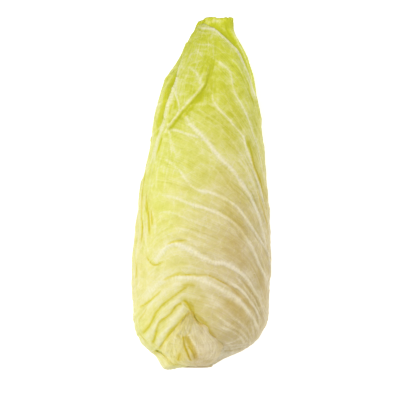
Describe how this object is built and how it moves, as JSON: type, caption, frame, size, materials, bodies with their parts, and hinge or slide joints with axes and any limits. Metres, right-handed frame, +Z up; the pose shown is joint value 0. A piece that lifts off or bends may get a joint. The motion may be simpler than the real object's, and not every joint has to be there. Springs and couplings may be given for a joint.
{
  "type": "sugarloaf chicory head",
  "caption": "Picked head of sugarloaf chicory lying on its side: long tight wrapped leaves on a short cut stem, blunt folded tip, flattened underside.",
  "frame": {"origin": "on the floor under the middle of the head's box", "axes": "+Y along the head from the cut stem to the tip, +Z up from the floor it lies on, +X to the right when looking from the stem to the tip"},
  "size_m": [0.1174, 0.2986, 0.1047],
  "materials": {
    "base_flap_centre": "satin, cream leaf base with a pale rib",
    "base_flap_left": "satin, cream leaf base",
    "leaf_front": "satin leaf, cream at the stem to yellow-green at the tip",
    "leaf_left": "satin leaf, cream to yellow-green",
    "leaf_tip": "satin leaf, yellow-green",
    "leaf_right": "satin leaf, cream to yellow-green",
    "leaf_under": "satin leaf, cream",
    "leaf_back": "satin leaf, cream",
    "inner_leaves": "satin blanched leaf, pale cream-yellow",
    "heart_bud": "satin blanched bud, pale yellow",
    "cut_stem": "matte cut face, tan and slightly dried"
  },
  "bodies": {
    "root": {"base_flap_centre": "base_flap_centre", "base_flap_left": "base_flap_left", "leaf_front": "leaf_front", "leaf_left": "leaf_left", "leaf_tip": "leaf_tip", "leaf_right": "leaf_right", "leaf_under": "leaf_under", "leaf_back": "leaf_back", "inner_leaf_1": "inner_leaves", "inner_leaf_2": "inner_leaves", "inner_leaf_3": "inner_leaves", "inner_leaf_4": "inner_leaves", "inner_leaf_5": "inner_leaves", "inner_leaf_6": "inner_leaves", "inner_leaf_7": "inner_leaves", "inner_leaf_8": "inner_leaves", "heart_bud": "heart_bud", "cut_stem": "cut_stem"}
  },
  "joints": []
}
